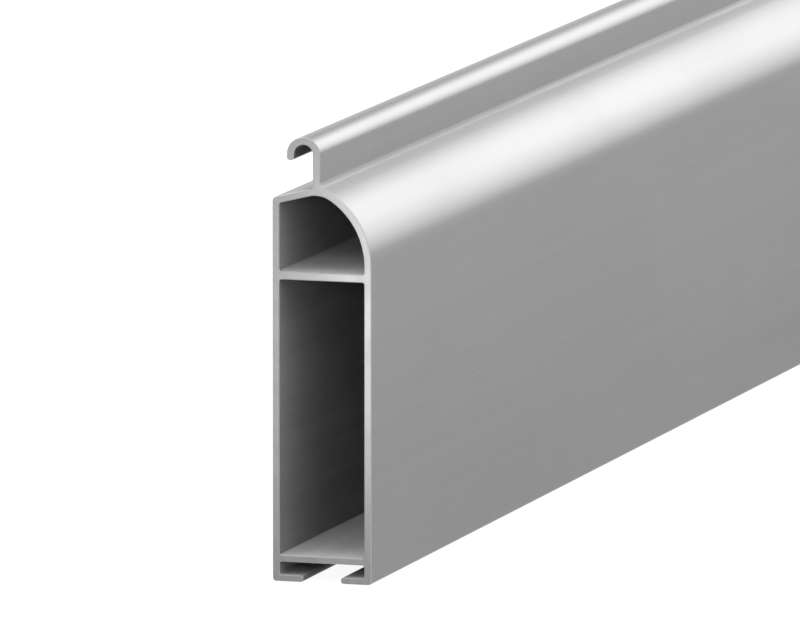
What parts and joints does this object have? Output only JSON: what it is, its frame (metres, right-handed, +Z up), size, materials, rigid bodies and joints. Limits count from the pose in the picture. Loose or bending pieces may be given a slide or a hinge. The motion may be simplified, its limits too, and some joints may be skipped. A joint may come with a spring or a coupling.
{
  "type": "roller shutter bottom slat",
  "caption": "Extruded hollow bottom slat of a roller shutter, with a hook along its top fin, a rounded front shoulder, two chambers and a slotted seal channel.",
  "frame": {"origin": "middle of the bottom, level with the undersides of the two lips", "axes": "+X along the slat, from one sawn end to the other; -Y is the outward front face with the rounded shoulder, +Y the back, where the hook opens; +Z up, as the slat hangs"},
  "size_m": [1, 0.022, 0.0957],
  "materials": {
    "mill_aluminium": "satin natural extruded aluminium"
  },
  "bodies": {
    "root": {"bottom_slat": "mill_aluminium"}
  },
  "joints": []
}
